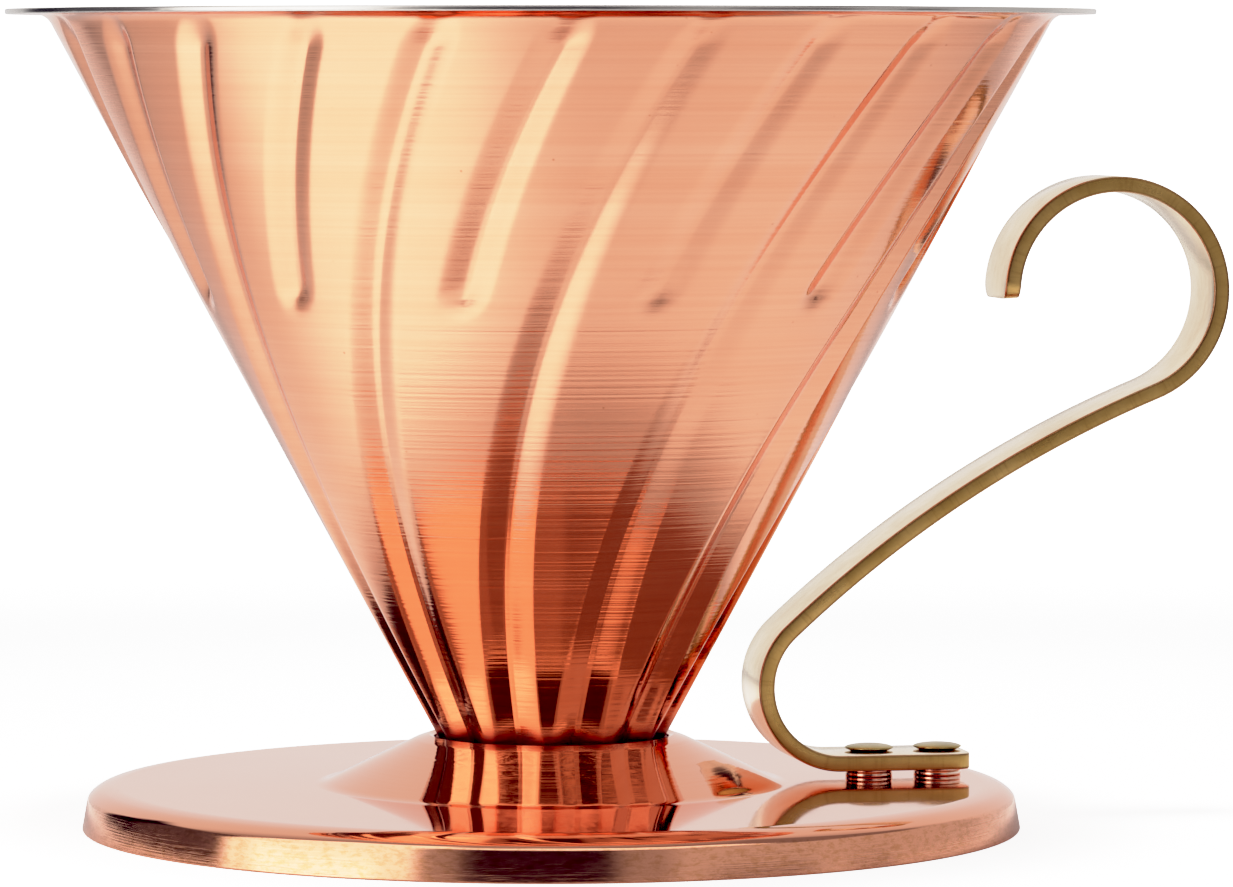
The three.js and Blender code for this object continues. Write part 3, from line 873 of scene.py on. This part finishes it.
def add_world():
    """Soft studio surroundings for reflections and light, and plain white behind the object."""
    world = bpy.data.worlds.new("studio")
    world.use_nodes = True
    bpy.context.scene.world = world
    wires = Nodes(world.node_tree)
    facing = wires.node("ShaderNodeTexCoord").outputs["Generated"]
    about_z = {"rotation_type": "Z_AXIS"}
    turned = wires.node("ShaderNodeVectorRotate", about_z, Vector=facing, Angle=-VIEW_TURN)
    parts = wires.node("ShaderNodeSeparateXYZ", Vector=turned.outputs[0]).outputs
    to_back = wires.math("MULTIPLY", parts["Y"], -1.0)
    azimuth = wires.math("MULTIPLY", wires.math("ARCTAN2", parts["X"], to_back), 180 / math.pi)
    height = wires.math("MULTIPLY", wires.math("ARCSINE", parts["Z"]), 180 / math.pi)
    aside = wires.math("ABSOLUTE", azimuth)
    level = wires.remap(aside, FRONT_ENDS, BACK_STARTS, FRONT_LEVEL, BACK_LEVEL, True)
    for middle, half, low, high, brightness in STUDIO_CARDS.values():
        off = wires.math("ABSOLUTE", wires.math("SUBTRACT", azimuth, float(middle)))
        sideways = wires.remap(off, half - CARD_EDGE, half + CARD_EDGE, 1, 0, True)
        above = wires.remap(height, low - CARD_EDGE, low + CARD_EDGE, 0, 1, True)
        below = wires.remap(height, high - CARD_EDGE, high + CARD_EDGE, 1, 0, True)
        share = wires.math("MULTIPLY", wires.math("MULTIPLY", above, below), sideways)
        level = wires.mixed(share, level, brightness)
    seen = wires.node("ShaderNodeLightPath").outputs["Is Camera Ray"]
    level = wires.mixed(seen, level, WHITE_SEEN)
    background = wires.node("ShaderNodeBackground", Color=WHITE, Strength=level)
    output = wires.node("ShaderNodeOutputWorld")
    wires.tree.links.new(background.outputs[0], output.inputs[0])


def add_pool(name, place, target, width, softness, watts):
    """A spot that lights a round pool on the floor and stays out of the metal's reflections."""
    data = bpy.data.lights.new(name, "SPOT")
    data.energy = watts
    data.shadow_soft_size = softness
    data.spot_blend = POOL_BLEND
    reach = (Vector(target) - Vector(place)).length
    data.spot_size = 2 * math.atan(width / 2 / reach)
    light = bpy.data.objects.new(name, data)
    light.location = place
    light.rotation_euler = (Vector(target) - Vector(place)).to_track_quat("-Z", "Y").to_euler()
    light.visible_camera = False
    light.visible_glossy = False
    bpy.context.scene.collection.objects.link(light)


def set_tone():
    """A slightly deeper black and a soft shoulder in the highlights, as in a printed product picture."""
    view = bpy.context.scene.view_settings
    view.view_transform = "Standard"
    view.use_curve_mapping = True
    mapping = view.curve_mapping
    mapping.black_level = TONE_BLACK
    mapping.white_level = (TONE_WHITE, TONE_WHITE, TONE_WHITE)
    for place, level in TONE_POINTS:
        mapping.curves[3].points.new(place, level)
    mapping.update()


# =====================================================================================================
# Scene
# =====================================================================================================

def finish_piece(thing, material, slot, *nodes):
    thing.data.materials.append(material)
    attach(thing, "root")
    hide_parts(*nodes)


def build_object():
    finish_piece(cone_skin(), spun_copper(), "cone_copper", "cone_body")
    finish_piece(cone_lining(), bright_plating(), "cone_lining", "cone_body")
    finish_piece(base_plate(), polished_copper(), "plate_copper", "base_plate")
    finish_piece(solder_ring(), dull_solder(), "solder", "solder_ring")
    finish_piece(handle(), bar_brass(), "handle_brass", "handle")
    brass, copper = plain_brass(), washer_copper()
    for name, place in RIVET_PLACES.items():
        finish_piece(rivet(name, place), brass, "rivet_brass", f"rivet_{name}")
        for level in ("lower", "upper"):
            node = f"washer_{name}_{level}"
            bottom = box_mm(node)[0].z
            finish_piece(washer(f"{name}_{level}", place, bottom), copper, "washer_copper", node)


add_camera()
build_object()
add_floor()
add_world()
for pool, numbers in POOLS.items():
    add_pool(pool, *numbers)
set_tone()
